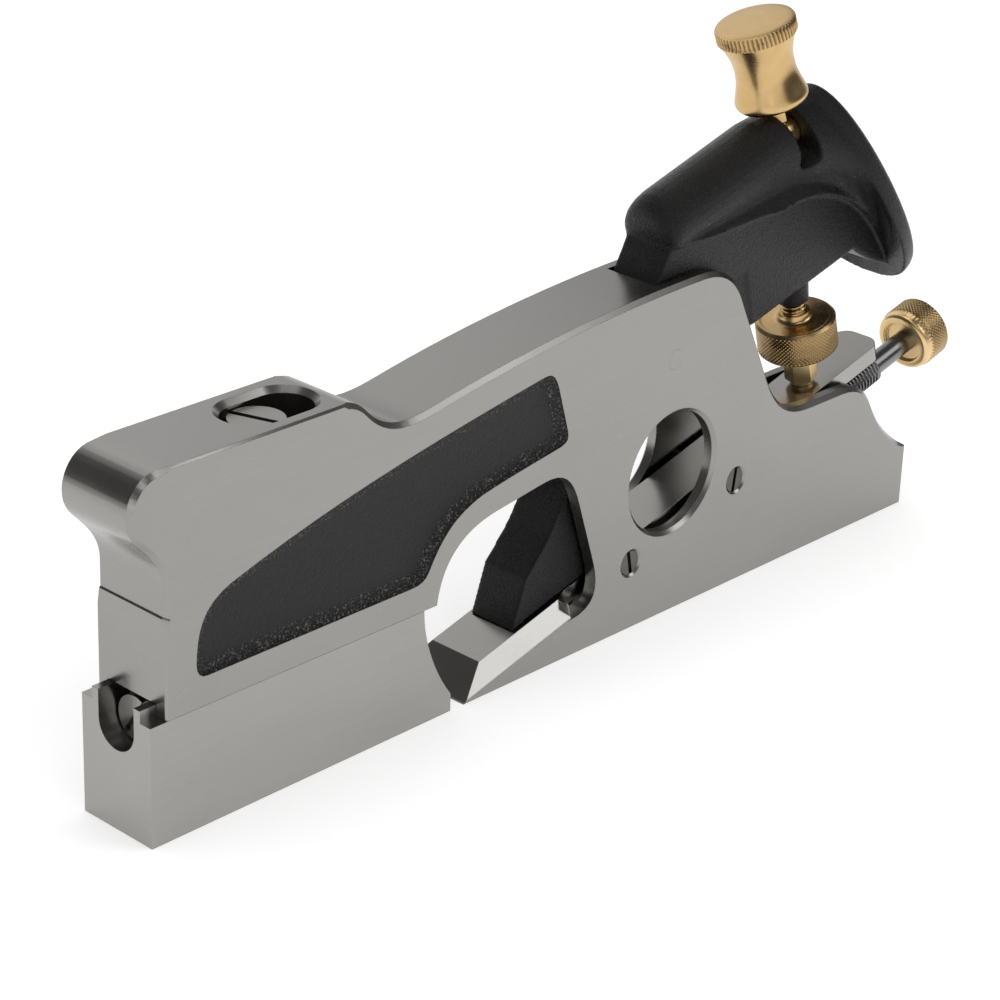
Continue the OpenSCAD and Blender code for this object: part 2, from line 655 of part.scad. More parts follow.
// Side outline of the leg and the web, in the bed's frame
leg_low = blade_t + 0.1;
leg_arc_r = finger_r + finger_chamfer + 2.2;
tip_front = to_bed([edge_x + 16.5, 8.05]);
ridge_line = concat(
    [for (d = [1.3, 4, 11, 18, 25]) [front_u + d, ridge_at(front_u + d) + 0.3]],
    [for (i = [0:flare_n - 1])
        let (t = i / flare_n, up = mix([flare_u, axis_w(flare_u) + tube_r], flare_top, t) - flare_feet[i])
        flare_feet[i] + 0.3 * up / norm(up)]);
palm_foot = palm_back - palm_a * palm_up;
web_outline = concat(
    [[18, leg_low], to_bed([edge_x + 19.8, 18]), to_bed([edge_x + 25.8, 24.8]),
        to_bed([edge_x + 30, 31.8]), to_bed([edge_x + 53.1, hump_z - 0.2]),
        [front_u + 0.1, ridge_at(front_u) + 0.3]],
    ridge_line,
    [palm_foot + [-2.3, 5.5], palm_foot + [-2.4, 2.4]],
    curve(palm_foot + [-2.4, 2.4], palm_foot + [-6.2, 4.6],
        [grip_u + 16, web_w - 5], [grip_u + 12.2, web_w], 6),
    [[finger_bed[0], web_w]],
    [for (a = [95:10:205])
        finger_bed + leg_arc_r * [cos(a), sin(a)]],
    [[41, leg_low + 0.3], [22, leg_low + 0.3], [21, leg_low]]);

// Radius of the knob's nut, and half of the arc that its slot runs through
nut_r = 3.1;
arc_half = 115;

// The middle of the arc slot, on the round back's axis, in the bed's frame
module grip_place() {
    translate([grip_u, 0, tube_w])
        rotate([0, -tube_slope, 0])
            children();
}

module lever_cap() {
    color([0.12, 0.12, 0.12])
    bed()
    difference() {
        union() {
            loft(cap_rings, [front_u, 0, axis_w(front_u)],
                [palm_back[0] + 2.8 * palm_n[0], 0, palm_back[1] + 2.8 * palm_n[1]]);
            // Leg between the cheeks
            intersection() {
                across(web_outline, 2 * web_half);
                union() {
                    rotate([0, bed_angle, 0])
                        translate([0, -leg_half, -20])
                            cube([far_out, 2 * leg_half, 20 + hump_z - 3]);
                    rotate([0, bed_angle, 0])
                        translate([0, -web_half, hump_z - 4])
                            cube([far_out, 2 * web_half, 60]);
                    translate([94, -web_half, 0])
                        cube([60, 2 * web_half, 90]);
                }
            }
            translate([clamp_u, 0, 23.4])
                cylinder(r1 = 3.2, r2 = 4.2, h = 13);
        }
        // Pin hole
        translate([to_bed(pivot_pos)[0], 0, to_bed(pivot_pos)[1]])
            rotate([90, 0, 0])
                cylinder(r = pin_r + run_gap, h = 40, center = true);
        // Thread of the clamp screw
        translate([clamp_u, 0, 0])
            cylinder(r = clamp_r + run_gap, h = 47);
        // Cored space for the knob's nut, and the arc slot for its stud
        grip_place() {
            rotate([0, 90, 0])
                cylinder(r = nut_r + run_gap, h = 10, center = true);
            rotate([0, 90, 0])
                rotate([0, 0, 180 - arc_half])
                    rotate_extrude(angle = 2 * arc_half)
                        translate([0, -arc_w / 2])
                            square([16, arc_w]);
            for (a = [-arc_half, arc_half])
                rotate([a, 0, 0])
                    cylinder(r = arc_w / 2, h = 16);
        }
    }
}
module fulcrum_pin() {
    color([0.6, 0.59, 0.58])
    cross_round(pivot_pos, pin_r, body_w);
}

wheel_chamfer = 0.6;
foot_h = wheel_w - 0.2 - blade_t - 0.1;
foot_tip = 1.1;
cone_top = wheel_w + wheel_h + 1.5;

module clamp_wheel() {
    color([0.78, 0.64, 0.38])
    bed()
    translate([clamp_u, 0, 0])
    rotate_extrude()
        polygon([[clamp_r, wheel_w], [wheel_r - wheel_chamfer, wheel_w],
            [wheel_r, wheel_w + wheel_chamfer], [wheel_r, wheel_w + wheel_h - wheel_chamfer],
            [wheel_r - wheel_chamfer, wheel_w + wheel_h], [3.1, cone_top], [clamp_r, cone_top]]);
}

module clamp_screw() {
    color([0.74, 0.6, 0.34])
    bed()
    translate([clamp_u, 0, blade_t + foot_tip + 1.2])
        cylinder(r = clamp_r, h = 37);
}

module clamp_foot() {
    color([0.78, 0.64, 0.38])
    bed()
    translate([clamp_u, 0, blade_t + 0.1])
    difference() {
        union() {
            translate([0, 0, foot_tip])
                rotate([0, 0, 15])
                    cylinder(r = foot_af / sqrt(3), h = foot_h - foot_tip, $fn = 6);
            cylinder(r = foot_af / 2 - 0.6, h = foot_tip + 1);
        }
        translate([0, 0, foot_tip + 1])
            cylinder(r = clamp_r + run_gap, h = foot_h);
    }
}

// Places a piece of the rear knob: its axis stands out from the round back
module knob_place() {
    bed()
    grip_place()
        rotate([-knob_lean, 0, 0])
            children();
}
knob_seat = tube_r + 0.3;

module grip_knob() {
    color([0.78, 0.64, 0.38])
    knob_place()
    translate([0, 0, knob_seat])
    rotate_extrude()
        polygon(concat(
            [[0, 8], [stud_r + 0.03, 8], [stud_r + 0.03, 0], [knob_base_r - 0.7, 0],
                [knob_base_r, 0.7]],
            [[knob_base_r, 1.6]],
            curve([knob_base_r, 1.6], [knob_base_r - 0.9, 4.6],
                [knob_waist_r, 5.6], [knob_waist_r, 8.2], 6),
            curve([knob_waist_r, 8.2], [knob_waist_r, 10.6],
                [knob_rim_r - 1.4, 11.8], [knob_rim_r - 0.5, knob_h - 3.1], 6),
            [[knob_rim_r, knob_h - 2.7], [knob_rim_r, knob_h - 0.5],
                [knob_rim_r - 0.5, knob_h]],
            curve([knob_rim_r - 0.5, knob_h], [knob_rim_r * 0.6, knob_h + 0.25],
                [knob_rim_r * 0.3, knob_h + 0.3], [0, knob_h + 0.3], 3)));
}

module grip_stud() {
    color([0.78, 0.64, 0.38])
    knob_place() {
        translate([0, 0, 1])
            cylinder(r = stud_r, h = knob_seat + 6.8);
        translate([0, 0, nut_r + 0.15])
            rotate([0, 0, 30])
                cylinder(r = (arc_w - 0.5) / sqrt(3), h = 2.2, $fn = 6);
    }
}

module grip_nut() {
    color([0.78, 0.64, 0.38])
    knob_place()
    difference() {
        rotate([0, 90, 0])
            cylinder(r = nut_r, h = 8.4, center = true);
        translate([0, 0, 1])
            cylinder(r = stud_r, h = 10);
    }
}

shaft_front = drive_u - 6.5;
carriage_u0 = drive_u - 3.8;
carriage_u1 = drive_u + 5.8;
thread_u0 = carriage_u1 + 0.4;
thread_u1 = knob_u - 11.5;

// Places a piece along the adjuster's axis
module on_shaft(u) {
    bed()
    translate([u, 0, -shaft_w])
        rotate([0, 90, 0])
            children();
}

module adjuster_shaft() {
    color([0.55, 0.55, 0.56])
    union() {
        on_shaft(shaft_front)
            cylinder(r = shaft_r, h = knob_u + knob_len - 2.5 - shaft_front);
        on_shaft(thread_u0)
            cylinder(r = thread_r, h = thread_u1 - thread_u0);
    }
}

module adjuster_knob() {
    color([0.78, 0.64, 0.38])
    on_shaft(knob_u)
    rotate_extrude()
        polygon([[shaft_r, 0], [knob_r - 0.7, 0], [knob_r, 0.7], [knob_r, knob_len - 0.7],
            [knob_r - 0.7, knob_len], [0, knob_len], [0, knob_len - 2.5],
            [shaft_r, knob_len - 2.5]]);
}

module shaft_clip() {
    color([0.4, 0.4, 0.4])
    on_shaft(carriage_u0 - 1.1)
    difference() {
        cylinder(r = shaft_r + 1, h = 0.8);
        translate([0, 0, -1])
            cylinder(r = shaft_r, h = 3);
    }
}

module pivot_barrel() {
    color([0.78, 0.64, 0.38])
    difference() {
        bed()
        translate([barrel_u, 0, -shaft_w - barrel_r - 0.9])
            cylinder(r = barrel_r, h = shaft_w + barrel_r + 0.5);
        on_shaft(barrel_u - 20)
            cylinder(r = thread_r + run_gap, h = 40);
    }
}

carriage_half = thread_r + 0.03;
module carriage() {
    color([0.5, 0.5, 0.5])
    difference() {
        bed()
        translate([carriage_u0, -carriage_half, -shaft_w - 3.2])
            cube([carriage_u1 - carriage_u0, 2 * carriage_half, shaft_w + 2.9]);
        on_shaft(carriage_u0 - 1)
            cylinder(r = shaft_r + run_gap, h = 20);
        bed()
        translate([drive_u, 0, -shaft_w + shaft_r + 0.25])
            cylinder(r = drive_r, h = 20);
    }
}

module drive_pin() {
    color([0.5, 0.5, 0.5])
    bed()
    translate([drive_u, 0, -shaft_w + shaft_r + 0.25])
        cylinder(r = drive_r, h = shaft_w - shaft_r - 0.25 + blade_t - 0.3);
}

// One set screw in a cheek, its slotted end just under the surface
module set_screw(p, gap, s, turn) {
    c = from_bed(p);
    tip = shank_half + gap;
    color([0.45, 0.45, 0.45])
    translate([c[0], 0, c[1]])
        rotate([s * 90, 0, 0])
            difference() {
                union() {
                    translate([0, 0, tip])
                        cylinder(r = set_tip_r, h = 2);
                    translate([0, 0, slot_half + 0.2])
                        cylinder(r = set_r, h = half_w - 0.35 - slot_half - 0.2);
                }
                translate([0, 0, half_w - 0.35])
                    rotate([0, 0, turn])
                        cube([slot_cut * 0.9, 12, 1.8], center = true);
            }
}

module set_screw_near_front() {
    set_screw(set_front, set_gap_front, 1, 12);
}
module set_screw_near_rear() {
    set_screw(set_rear, set_gap_rear, 1, -8);
}
module set_screw_far_front() {
    set_screw(set_front, set_gap_front, -1, 40);
}
module set_screw_far_rear() {
    set_screw(set_rear, set_gap_rear, -1, 75);
}

body();
toe();
toe_lock_screw();
toe_stop_screw();
blade();
lever_cap();
fulcrum_pin();
clamp_wheel();
clamp_screw();
clamp_foot();
grip_knob();
grip_stud();
grip_nut();
adjuster_knob();
adjuster_shaft();
shaft_clip();
pivot_barrel();
carriage();
drive_pin();
set_screw_near_front();
set_screw_near_rear();
set_screw_far_front();
set_screw_far_rear();
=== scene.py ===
"""Shoulder plane: camera, light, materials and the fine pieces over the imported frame.

Lengths are in millimetres, as in the CAD source, and MM turns them into metres. U runs back
along the bed from the cutting edge and W stands square to the bed.
"""

import math

import bmesh
import bpy
from mathutils import Matrix, Vector


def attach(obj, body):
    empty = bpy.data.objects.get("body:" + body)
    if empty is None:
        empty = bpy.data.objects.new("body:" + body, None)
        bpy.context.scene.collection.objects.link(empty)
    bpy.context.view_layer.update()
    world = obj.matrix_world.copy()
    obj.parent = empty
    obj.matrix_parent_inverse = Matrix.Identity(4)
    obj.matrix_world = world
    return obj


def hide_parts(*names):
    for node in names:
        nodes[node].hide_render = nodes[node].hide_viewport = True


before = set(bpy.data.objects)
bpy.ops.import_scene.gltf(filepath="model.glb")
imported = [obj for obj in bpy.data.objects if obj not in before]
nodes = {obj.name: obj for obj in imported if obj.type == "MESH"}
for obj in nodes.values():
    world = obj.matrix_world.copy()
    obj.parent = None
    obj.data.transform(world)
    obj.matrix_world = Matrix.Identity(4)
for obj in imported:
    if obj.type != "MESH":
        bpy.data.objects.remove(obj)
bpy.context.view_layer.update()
MM = 0.001
# Points nearer than this, in metres, are one point
WELD = 1e-6
# Heights and radii nearer than this are the same
TINY = 1e-6

# The places and sizes below are those of the CAD source
# Bed, body and the dark recess in its sides
EDGE_X = -29.9
BED_ANGLE = 15
HALF_W = 8.89
RECESS_DEPTH = 1.3

# Round back of the lever cap, and the ridge under it that falls towards the rear
TUBE_W = 60.9
TUBE_R = 7.0
TUBE_SLOPE = 1.5
RIDGE_W = 57.8
RIDGE_HALF = 6.9
RIDGE_START_U = 73.9 + 0.9
RIDGE_FALL = 0.25

# Clamp screw, and its knurled wheel with a cone on top
CLAMP_U = 112.9
CLAMP_R = 2.45
CLAMP_LOW_W = 5.8
CLAMP_LEN = 37
WHEEL_R = 8.35
WHEEL_W = 12.0
WHEEL_H = 7.5
CONE_R = 3.1
CONE_H = 1.5

# Rear knob, its stud and the stud's hex collar
GRIP_U = 114.2
GRIP_LEAN = 7
GRIP_H = 17.4
GRIP_BASE_R = 7.3
GRIP_WAIST_R = 5.95
GRIP_RIM_R = 8.0
GRIP_SEAT = TUBE_R + 0.3
STUD_R = 1.9
STUD_LOW = 1.0
STUD_LEN = GRIP_SEAT + 6.8
HEX_ACROSS = 4.5
HEX_LOW = 3.4
HEX_HIGH = 6.7

# Adjuster: shaft, its coarse thread and the knob
SHAFT_W = 6.0
SHAFT_R = 2.35
SHAFT_FRONT_U = 79.5
KNOB_U = 146.1
KNOB_LEN = 7.8
KNOB_R = 6.95
THREAD_R = 3.17
THREAD_FRONT_U = 92.2
THREAD_BACK_U = KNOB_U - 11.5


def turn(degrees, axis):
    return Matrix.Rotation(math.radians(degrees), 4, axis)


def shift(x, y, z):
    return Matrix.Translation((x, y, z))


BED = shift(EDGE_X, 0, 0) @ turn(-BED_ANGLE, "Y")
CLAMP = BED @ shift(CLAMP_U, 0, 0)
GRIP = BED @ shift(GRIP_U, 0, TUBE_W) @ turn(-TUBE_SLOPE, "Y") @ turn(-GRIP_LEAN, "X")


def on_shaft(u):
    """The adjuster's axis, with its zero at u."""
    return BED @ shift(u, 0, -SHAFT_W) @ turn(90, "Y")


# Camera, solved from the photo's edges: its place, its angles in degrees and its focal length
CAMERA_PLACE = (-386.104, -345.037, 266.021)
CAMERA_AZIMUTH = 42.7067
CAMERA_DOWN = 24.5779
CAMERA_ROLL = 2.1761
FOCAL_PX = 2999.458
PHOTO_PX = 1000


def camera():
    """The camera at the photo's place and angle."""
    data = bpy.data.cameras.new("camera")
    data.sensor_width = 36
    data.lens = FOCAL_PX * data.sensor_width / PHOTO_PX
    data.clip_start = 0.05
    data.clip_end = 20
    cam = bpy.data.objects.new("camera", data)
    look = turn(CAMERA_AZIMUTH - 90, "Z") @ turn(90 - CAMERA_DOWN, "X") @ turn(CAMERA_ROLL, "Z")
    cam.matrix_world = shift(*(v * MM for v in CAMERA_PLACE)) @ look
    bpy.context.scene.collection.objects.link(cam)
    bpy.context.scene.camera = cam


class Graph:
    """Short ways to add and join the nodes of one tree."""

    def __init__(self, tree):
        self.tree = tree

    def add(self, kind):
        return self.tree.nodes.new(kind)

    def join(self, out, into):
        self.tree.links.new(out, into)

    def put(self, value, into):
        """Writes a plain number to a socket, or joins another node's output to it."""
        if isinstance(value, (int, float)):
            into.default_value = value
        else:
            self.join(value, into)

    def math(self, kind, a, b=0):
        node = self.add("ShaderNodeMath")
        node.operation = kind
        self.put(a, node.inputs[0])
        self.put(b, node.inputs[1])
        return node.outputs[0]

    def dot(self, vector, axis):
        node = self.add("ShaderNodeVectorMath")
        node.operation = "DOT_PRODUCT"
        self.join(vector, node.inputs[0])
        node.inputs[1].default_value = axis
        return node.outputs["Value"]

    def part(self, vector, axis):
        """One coordinate of a vector."""
        split = self.add("ShaderNodeSeparateXYZ")
        self.join(vector, split.inputs[0])
        return split.outputs[axis]

    def spread(self, value, low, high, start=0.3, end=0.7, kind="LINEAR"):
        """Low up to the start, high from the end on, and a slope between them."""
        node = self.add("ShaderNodeMapRange")
        node.interpolation_type = kind
        node.inputs["From Min"].default_value = start
        node.inputs["From Max"].default_value = end
        self.put(low, node.inputs["To Min"])
        self.put(high, node.inputs["To Max"])
        self.join(value, node.inputs["Value"])
        return node.outputs["Result"]

    def seen_only(self, other, seen):
        """One strength for rays that show a surface, also by a mirror, and another for light."""
        path = self.add("ShaderNodeLightPath")
        rays = path.outputs["Is Camera Ray"]
        for kind in ("Is Glossy Ray", "Is Transmission Ray"):
            rays = self.math("MAXIMUM", rays, path.outputs[kind])
        return self.spread(rays, other, seen, 0, 1)


# The room: how bright its light and its dark part are
DAYLIGHT = 0.55
CEILING = 0.1
# Heights between which the white of the horizon ends, and how much lower it is at both sides
HORIZON_TOP = 0.42
HORIZON_FULL = 0.12
SIDES_LOWER = 0.35
TO_THE_SIDES = (0.72, -0.69, 0.0)
SIDES_START = 0.5
SIDES_END = 0.85
# The white patch high behind the object, and how near to its middle it starts
HIGH_BEHIND = (0.362, 0.784, 0.503)
PATCH_START = 0.84
# The floor, in metres, and the glow that makes it white
FLOOR_HALF = 6.0
FLOOR_GLOW = 0.4


def backdrop(room):
    """White round the horizon, lower at both sides, and high up behind the object."""
    way = room.add("ShaderNodeTexCoord").outputs["Generated"]
    aside = room.math("ABSOLUTE", room.dot(way, TO_THE_SIDES))
    lower = room.spread(aside, 0, SIDES_LOWER, SIDES_START, SIDES_END, "SMOOTHSTEP")
    height = room.math("ADD", room.part(way, "Z"), lower)
    horizon = room.spread(height, 0, 1, HORIZON_TOP, HORIZON_FULL, "SMOOTHSTEP")
    behind = room.spread(room.dot(way, HIGH_BEHIND), 0, 1, PATCH_START, 1, "SMOOTHSTEP")
    return room.spread(room.math("MAXIMUM", horizon, behind), CEILING, 1, 0, 1)


def area(name, place, aim, size, strength):
    """A softbox that shines with that strength, where 1 is as bright as white, all in metres."""
    data = bpy.data.lights.new(name, "AREA")
    data.shape = "RECTANGLE"
    data.size, data.size_y = size
    data.energy = strength * math.pi * size[0] * size[1]
    lamp = bpy.data.objects.new(name, data)
    lamp.location = place
    lamp.rotation_mode = "QUATERNION"
    lamp.rotation_quaternion = (Vector(aim) - Vector(place)).to_track_quat("-Z", "Y")
    bpy.context.scene.collection.objects.link(lamp)


def studio():
    """The light room, its softboxes and a pale floor."""
    world = bpy.data.worlds.new("world")
    bpy.context.scene.world = world
    world.use_nodes = True
    room = Graph(world.node_tree)
    back = world.node_tree.nodes["Background"]
    back.inputs["Color"].default_value = (1, 1, 1, 1)
    room.join(room.seen_only(DAYLIGHT, backdrop(room)), back.inputs["Strength"])

    area("key", (0.45, -0.62, 0.68), (0.02, 0, 0.04), (0.5, 0.5), 2.1)
    area("front", (-0.36, -0.62, 0.86), (0, 0, 0.05), (0.4, 0.4), 1.3)
    area("top", (-0.1, 0.15, 0.95), (0, 0, 0.03), (0.8, 0.6), 1.2)
    area("corner", (-0.72, -0.6, 0.2), (0, 0, 0.06), (0.16, 0.3), 0.5)

    mesh = bpy.data.meshes.new("floor")
    half = FLOOR_HALF
    mesh.from_pydata([(-half, -half, 0), (half, -half, 0), (half, half, 0), (-half, half, 0)], [],
                     [(0, 1, 2, 3)])
    floor = bpy.data.objects.new("floor", mesh)
    bpy.context.scene.collection.objects.link(floor)
    mat = bpy.data.materials.new("floor")
    mat.use_nodes = True
    bsdf = mat.node_tree.nodes["Principled BSDF"]
    bsdf.inputs["Base Color"].default_value = (0.9, 0.9, 0.9, 1)
    bsdf.inputs["Roughness"].default_value = 0.9
    bsdf.inputs["Specular IOR Level"].default_value = 0.1
    bsdf.inputs["Emission Color"].default_value = (1, 1, 1, 1)
    glow = Graph(mat.node_tree)
    glow.join(glow.seen_only(0, FLOOR_GLOW), bsdf.inputs["Emission Strength"])
    mesh.materials.append(mat)


class Paint(Graph):
    """A material whose textures follow the piece's own coordinates."""

    def __init__(self, name, metallic=0.0, specular=0.5):
        self.mat = bpy.data.materials.new(name)
        self.mat.use_nodes = True
        super().__init__(self.mat.node_tree)
        self.bsdf = self.tree.nodes["Principled BSDF"]
        self.bsdf.inputs["Metallic"].default_value = metallic
        self.bsdf.inputs["Specular IOR Level"].default_value = specular
        self.place = self.add("ShaderNodeTexCoord").outputs["Object"]

    def noise(self, per_metre, detail):
        """Noise with so many lumps to the metre along each axis."""
        scaled = self.add("ShaderNodeMapping")
        scaled.inputs["Scale"].default_value = per_metre
        self.join(self.place, scaled.inputs["Vector"])
        node = self.add("ShaderNodeTexNoise")
        node.inputs["Scale"].default_value = 1
        node.inputs["Detail"].default_value = detail
        node.inputs["Roughness"].default_value = 0.55
        self.join(scaled.outputs["Vector"], node.inputs["Vector"])
        return node.outputs["Fac"]

    def mixed(self, a, share, b):
        """The share of a and the rest of b."""
        return self.math("ADD", self.math("MULTIPLY", a, share), self.math("MULTIPLY", b, 1 - share))

    def colours(self, value, dark, light, into=None):
        """A colour between dark and light that follows the value."""
        ramp = self.add("ShaderNodeValToRGB")
        for element, place, colour in zip(ramp.color_ramp.elements, (0.3, 0.7), (dark, light)):
            element.color = (*colour, 1)
            element.position = place
        self.join(value, ramp.inputs["Fac"])
        self.join(ramp.outputs["Color"], into or self.bsdf.inputs["Base Color"])

    def overlaid(self, value, dark, light, share, overlay):
        """Colours with a share of another colour over them: painted shade in grooves, a painted
        highlight on edges, and specks.
        """
        mix = self.add("ShaderNodeMix")
        mix.data_type = "RGBA"
        self.join(share, mix.inputs["Factor"])
        self.colours(value, dark, light, mix.inputs["A"])
        mix.inputs["B"].default_value = (*overlay, 1)
        self.join(mix.outputs["Result"], self.bsdf.inputs["Base Color"])

    def rough(self, value, low, high):
        self.join(self.spread(value, low, high), self.bsdf.inputs["Roughness"])

    def soft_edges(self, radius):
        """Normals that round the edges of the piece."""
        node = self.add("ShaderNodeBevel")
        node.samples = 4
        node.inputs["Radius"].default_value = radius * MM
        return node.outputs["Normal"]

    def bump(self, value, height, strength=1.0, under=None):
        node = self.add("ShaderNodeBump")
        node.inputs["Strength"].default_value = strength
        node.inputs["Distance"].default_value = height * MM
        self.join(value, node.inputs["Height"])
        if under:
            self.join(under, node.inputs["Normal"])
        self.join(node.outputs["Normal"], self.bsdf.inputs["Normal"])


# Ground metal: its lines and clouds per metre, the lines' depth and the roundness of its edges
LINES_ALONG = (45, 3000, 5200)
LINES_ACROSS = (4600, 60, 4600)
CLOUDS = (28, 60, 60)
SCRATCH = 0.003
METAL_EDGE = 0.12
# How far a face looks sideways when its lines begin to run along the body, and when all do
ALONG_START = 0.6
ALONG_FULL = 0.8


def brushed(name, dark, light, rough):
    """Ground iron or steel: fine lines along the body on its sides and across it elsewhere."""
    metal = Paint(name, metallic=1.0)
    along = metal.noise(LINES_ALONG, 4)
    across = metal.noise(LINES_ACROSS, 4)
    normal = metal.add("ShaderNodeNewGeometry").outputs["Normal"]
    sideways = metal.math("ABSOLUTE", metal.part(normal, "Y"))
    mix = metal.add("ShaderNodeMix")
    metal.join(metal.spread(sideways, 0, 1, ALONG_START, ALONG_FULL), mix.inputs["Factor"])
    metal.join(across, mix.inputs["A"])
    metal.join(along, mix.inputs["B"])
    grain = mix.outputs["Result"]
    cloud = metal.noise(CLOUDS, 2)
    metal.colours(metal.mixed(grain, 0.4, cloud), dark, light)
    metal.rough(cloud, *rough)
    metal.bump(grain, SCRATCH, 0.5, metal.soft_edges(METAL_EDGE))
    return metal.mat


# Brass: its grain and clouds per metre, the grain's depth, the colour of the painted shade in
# its grooves, and how far turning stretches its highlights
BRASS_GRAIN = (2600, 2600, 2600)
BRASS_CLOUDS = (210, 210, 210)
BRASS_DEPTH = 0.002
GROOVE_SHADE = (0.16, 0.1, 0.04)
TURNED = 0.6


def brass(name, dark, light, rough, axis="Z"):
    """Turned brass: its highlights run round the axis it was turned on, and its grooves are darkened
    as painted shade.
    """
    metal = Paint(name, metallic=1.0)
    grain = metal.noise(BRASS_GRAIN, 3)
    cloud = metal.noise(BRASS_CLOUDS, 4)
    groove = metal.add("ShaderNodeAttribute")
    groove.attribute_name = "groove"
    # Painted shade: points deep in a groove take this dark brown
    metal.overlaid(cloud, dark, light, groove.outputs["Fac"], GROOVE_SHADE)
    metal.rough(cloud, *rough)
    metal.bump(grain, BRASS_DEPTH, 0.4)
    metal.bsdf.inputs["Anisotropic"].default_value = TURNED
    tangent = metal.add("ShaderNodeTangent")
    tangent.direction_type = "RADIAL"
    tangent.axis = axis
    metal.join(tangent.outputs[0], metal.bsdf.inputs["Tangent"])
    return metal.mat


# How many times finer the small bumps of enamel are, and how much of it the large ones are
FINER = 2.6
LARGE_BUMPS = 0.65
# Painted highlight on enamel: how sharp its edges are, and the heights of the small bumps that are
# painted lighter there, in flecks
HIGHLIGHT_EDGES = (0.57, 0.62)
HIGHLIGHT_BUMPS = (0.46, 0.54)
# Specked enamel: the heights of the bumps that are specks
SPECK_BUMPS = (0.55, 0.62)


def enamel(name, dark, light, grain, height, rough, edge_highlight=0.0, specks=0.0):
    """Black casting enamel with bumps of that grain and height, lightened in flecks on its sharp
    edges as a painted highlight, or specked.
    """
    coat = Paint(name, specular=0.3)
    bumps = 1 / (grain * MM)
    coarse = coat.noise((bumps,) * 3, 3)
    fine = coat.noise((bumps * FINER,) * 3, 2)
    mixed = coat.mixed(coarse, LARGE_BUMPS, fine)
    tone = edge_highlight or specks
    # Painted highlight: flecks on sharp edges are lightened towards that grey
    if edge_highlight:
        pointed = coat.add("ShaderNodeNewGeometry").outputs["Pointiness"]
        edge = coat.spread(pointed, 0, 1, *HIGHLIGHT_EDGES)
        share = coat.math("MULTIPLY", edge, coat.spread(fine, 0, 1, *HIGHLIGHT_BUMPS))
    elif specks:
        share = coat.spread(mixed, 0, 1, *SPECK_BUMPS)
    if tone:
        coat.overlaid(coarse, dark, light, share, (tone, tone, tone * 0.97))
    else:
        coat.colours(coarse, dark, light)
    coat.rough(fine, *rough)
    coat.bump(mixed, height)
    return coat.mat


IRON = brushed("iron", (0.296, 0.289, 0.277), (0.33, 0.323, 0.31), (0.24, 0.32))
# Painted light: a lighter copy of the iron, so that the toe looks more brightly lit than the body
TOE_IRON_PAINTED_LIGHTER = brushed("toe_iron", (0.33, 0.322, 0.308), (0.37, 0.362, 0.346), (0.24, 0.32))
STEEL = brushed("blade_steel", (0.33, 0.323, 0.308), (0.39, 0.383, 0.368), (0.18, 0.26))
SCREW = brushed("screw_steel", (0.28, 0.275, 0.26), (0.38, 0.37, 0.35), (0.22, 0.34))
SHAFT = brushed("shaft_steel", (0.17, 0.17, 0.17), (0.25, 0.25, 0.25), (0.2, 0.3))
DARK = brushed("dark_steel", (0.10, 0.095, 0.085), (0.17, 0.16, 0.145), (0.3, 0.42))
BRASS = brass("brass", (0.56, 0.375, 0.165), (0.66, 0.46, 0.22), (0.2, 0.3))
# Painted light: the foot's brass is rough like satin and lighter than the other brass, to lift the
# shade it stands in under the wheel
SATIN_PAINTED_LIGHTER = brass("satin_brass_painted_lighter", (0.8, 0.58, 0.28), (0.9, 0.68, 0.36), (0.42, 0.5))
KNURL = brass("knurled_brass", (0.54, 0.365, 0.165), (0.66, 0.47, 0.24), (0.22, 0.34))
# Painted light: a lighter copy of the knurled brass, so that the adjuster knob looks more brightly
# lit
KNURL_X_PAINTED_LIGHTER = brass("knurled_brass_along_painted_lighter", (0.7, 0.49, 0.23), (0.82, 0.6, 0.32), (0.24, 0.36), "X")
# The cap's sharp edges get a painted highlight in light grey flecks
CAP = enamel("cap_enamel", (0.003, 0.0035, 0.0035), (0.006, 0.0065, 0.0065), 0.42, 0.34,
             (0.22, 0.34), edge_highlight=0.07)
CRINKLE = enamel("crinkle_enamel", (0.003, 0.003, 0.003), (0.007, 0.007, 0.0068), 0.6, 0.2,
                 (0.34, 0.48))
GRIT = enamel("gritty_enamel", (0.003, 0.003, 0.003), (0.012, 0.012, 0.0115), 0.45, 0.4,
              (0.2, 0.32), specks=0.16)


def paint(obj, mat):
    """Makes the whole piece of one material."""
    obj.data.materials.clear()
    obj.data.materials.append(mat)


# Edges that bend by less than this are part of a curve
CURVE_BELOW = 24


def smooth_curves(obj):
    """Shades the fine facets of an outline's curves as one curve. The mesh itself stays as it is."""
    tree = bpy.data.node_groups.new("smooth_" + obj.name, "GeometryNodeTree")
    for way in ("INPUT", "OUTPUT"):
        tree.interface.new_socket("Geometry", in_out=way, socket_type="NodeSocketGeometry")
    group = Graph(tree)
    start = group.add("NodeGroupInput")
    end = group.add("NodeGroupOutput")
    weld = group.add("GeometryNodeMergeByDistance")
    weld.inputs["Distance"].default_value = WELD
    angle = group.add("GeometryNodeInputMeshEdgeAngle")
    sharp = group.add("FunctionNodeCompare")
    sharp.data_type = "FLOAT"
    sharp.operation = "GREATER_THAN"
    sharp.inputs["B"].default_value = math.radians(CURVE_BELOW)
    normal = group.add("GeometryNodeSetMeshNormal")
    normal.mode = "SHARPNESS"
    normal.inputs["Remove Custom"].default_value = True
    group.join(start.outputs[0], weld.inputs[0])
    group.join(weld.outputs[0], normal.inputs["Mesh"])
    group.join(angle.outputs["Unsigned Angle"], sharp.inputs["A"])
    group.join(sharp.outputs[0], normal.inputs["Edge Sharpness"])
    group.join(normal.outputs[0], end.inputs[0])
    obj.modifiers.new("smooth_curves", "NODES").node_group = tree


